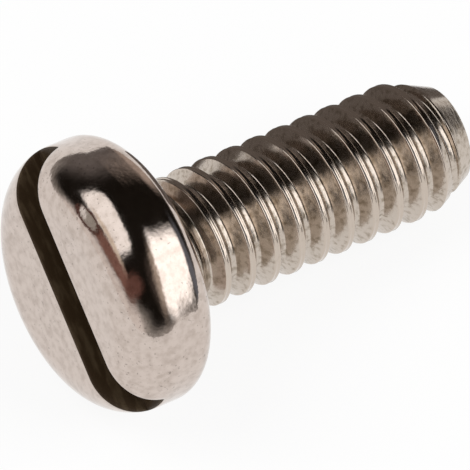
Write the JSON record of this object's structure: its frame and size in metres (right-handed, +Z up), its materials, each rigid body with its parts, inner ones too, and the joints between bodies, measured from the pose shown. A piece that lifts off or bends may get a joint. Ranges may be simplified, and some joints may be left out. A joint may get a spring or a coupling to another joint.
{
  "type": "machine screw",
  "caption": "Small slotted pan head machine screw with a full-length right-hand thread and a short tapered end.",
  "frame": {"origin": "middle of the bounding box at its bottom, on the surface that the screw lies on", "axes": "+X runs along the lying screw from its head towards its tip, +Z is up"},
  "size_m": [0.0064, 0.0038, 0.0038],
  "materials": {
    "steel": "satin"
  },
  "bodies": {
    "root": {"screw": "steel"}
  },
  "joints": []
}
